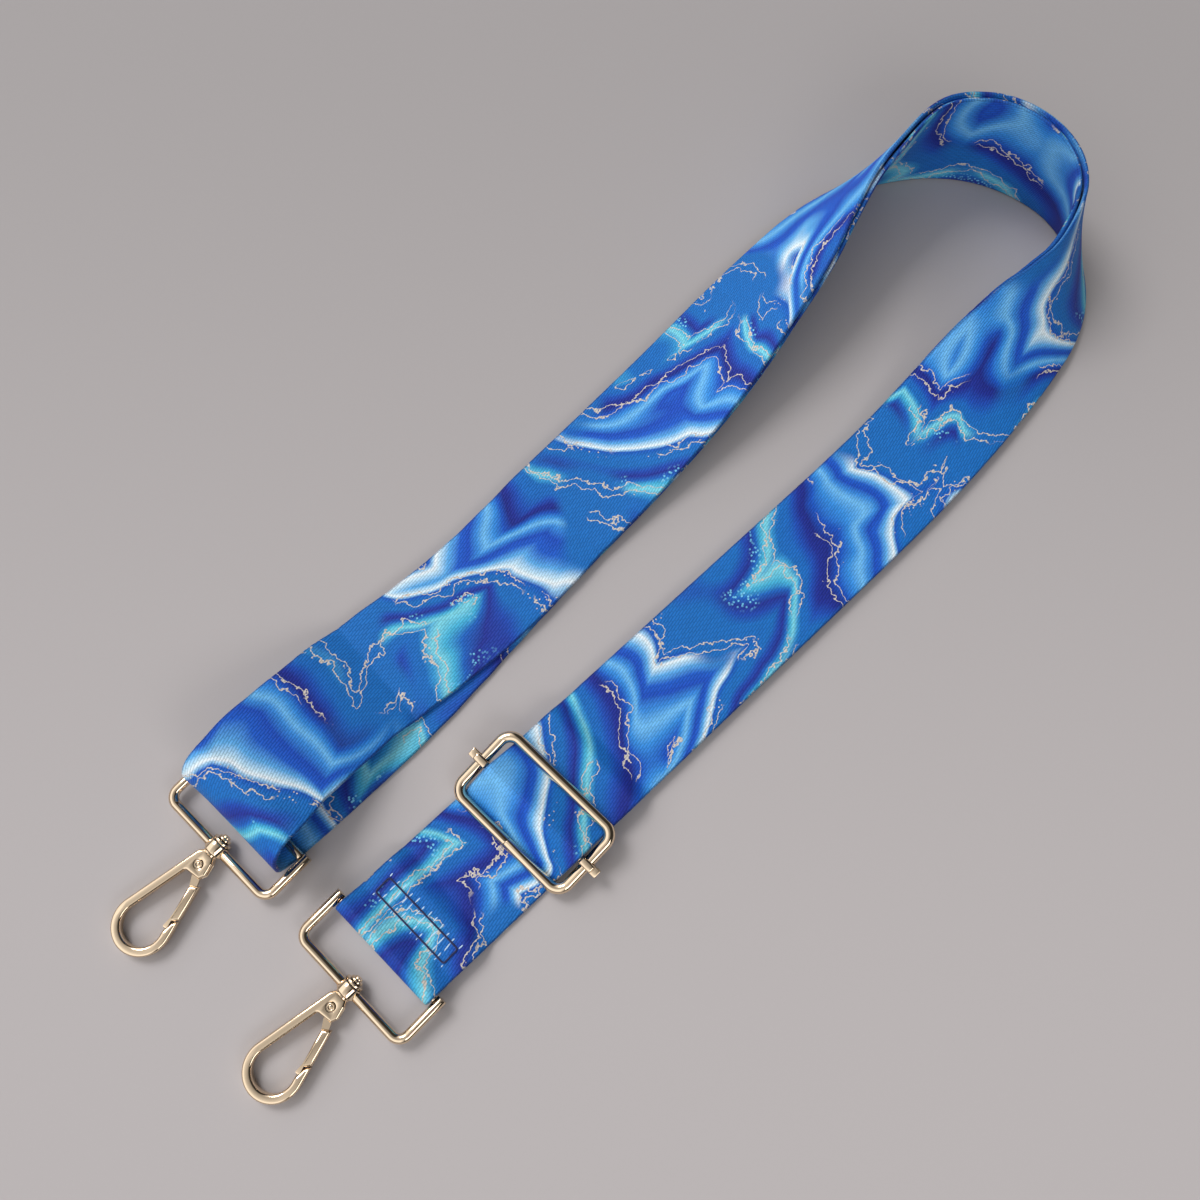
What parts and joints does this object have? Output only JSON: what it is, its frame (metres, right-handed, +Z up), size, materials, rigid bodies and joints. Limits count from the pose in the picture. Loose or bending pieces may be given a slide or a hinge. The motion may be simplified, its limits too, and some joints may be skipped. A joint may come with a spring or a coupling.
{
  "type": "detachable bag strap",
  "caption": "Adjustable bag strap of printed webbing, lying doubled in a loop, with a slider on it and a swivelling snap hook at each end.",
  "frame": {"origin": "on the table, under the middle of the strap's length and width as it lies", "axes": "+X from the hooks to the bend, +Y across the two branches, +Z up from the table"},
  "size_m": [0.3798, 0.1154, 0.0379],
  "materials": {
    "printed_webbing": "printed, matte",
    "navy_thread": "matte",
    "champagne_gold": "polished plate",
    "spring_steel": "drawn wire"
  },
  "bodies": {
    "webbing": {"webbing_hook_2_fold": "printed_webbing", "hook_2_stitch_top": "navy_thread", "hook_2_stitch_bottom": "navy_thread", "webbing_single_run": "printed_webbing", "webbing_top_right": "printed_webbing", "webbing_under_right": "printed_webbing", "webbing_bend_outer": "printed_webbing", "webbing_bend_inner": "printed_webbing", "webbing_top_left": "printed_webbing", "webbing_hook_1_loop": "printed_webbing", "webbing_under_left": "printed_webbing"},
    "slider_frame": {"slider_frame": "champagne_gold"},
    "slider_bar": {"slider_bar": "champagne_gold", "webbing_over_bar": "printed_webbing", "webbing_sewn_end": "printed_webbing", "slider_stitch_top": "navy_thread", "slider_stitch_bottom": "navy_thread"},
    "ring_1": {"hook_1_ring": "champagne_gold", "hook_1_ring_bar": "champagne_gold"},
    "hook_1": {"hook_1_body": "champagne_gold", "hook_1_washer": "champagne_gold", "hook_1_gate_rivet": "champagne_gold", "hook_1_gate_spring": "spring_steel"},
    "gate_1": {"hook_1_gate": "champagne_gold"},
    "ring_2": {"hook_2_ring": "champagne_gold", "hook_2_ring_bar": "champagne_gold"},
    "hook_2": {"hook_2_body": "champagne_gold", "hook_2_washer": "champagne_gold", "hook_2_gate_rivet": "champagne_gold", "hook_2_gate_spring": "spring_steel"},
    "gate_2": {"hook_2_gate": "champagne_gold"}
  },
  "joints": [
    {"name": "slider_slide", "type": "slide", "parent": "webbing", "child": "slider_frame", "axis": [1, 0, 0], "range_m": [-0.015, 0.06], "deforming": ["webbing_top_right", "webbing_under_right", "webbing_over_bar", "webbing_sewn_end"]},
    {"name": "slider_bar_slide", "type": "slide", "parent": "slider_frame", "child": "slider_bar", "axis": [0.9825, 0.0549, 0.178], "range_m": [-0.005, 0.005], "deforming": ["webbing_over_bar", "webbing_sewn_end"]},
    {"name": "ring_1_swing", "type": "hinge", "parent": "webbing", "child": "ring_1", "pos_m": [-0.13795, 0.02297, 0.00408], "axis": [0.0523, -0.9986, 0], "range_deg": [0, 140]},
    {"name": "hook_1_swivel", "type": "hinge", "parent": "ring_1", "child": "hook_1", "pos_m": [-0.15281, 0.02219, 0.00348], "axis": [-0.9978, -0.0523, -0.0403], "continuous": true},
    {"name": "gate_1_hinge", "type": "hinge", "parent": "hook_1", "child": "gate_1", "pos_m": [-0.1591, 0.02186, 0.00323], "axis": [0.0403, 0.0021, -0.9992], "range_deg": [0, 30], "stiffness_Nm_per_rad": 0.02, "springref_deg": -28.65, "deforming": ["hook_1_gate_spring"]},
    {"name": "ring_2_swing", "type": "hinge", "parent": "webbing", "child": "ring_2", "pos_m": [-0.13525, -0.03233, 0.00408], "axis": [0.0436, -0.999, 0], "range_deg": [-150, 140]},
    {"name": "hook_2_swivel", "type": "hinge", "parent": "ring_2", "child": "hook_2", "pos_m": [-0.15012, -0.03298, 0.00348], "axis": [-0.9982, -0.0436, -0.0403], "continuous": true},
    {"name": "gate_2_hinge", "type": "hinge", "parent": "hook_2", "child": "gate_2", "pos_m": [-0.15641, -0.03325, 0.00323], "axis": [0.0403, 0.0018, -0.9992], "range_deg": [0, 30], "stiffness_Nm_per_rad": 0.02, "springref_deg": -28.65, "deforming": ["hook_2_gate_spring"]}
  ]
}
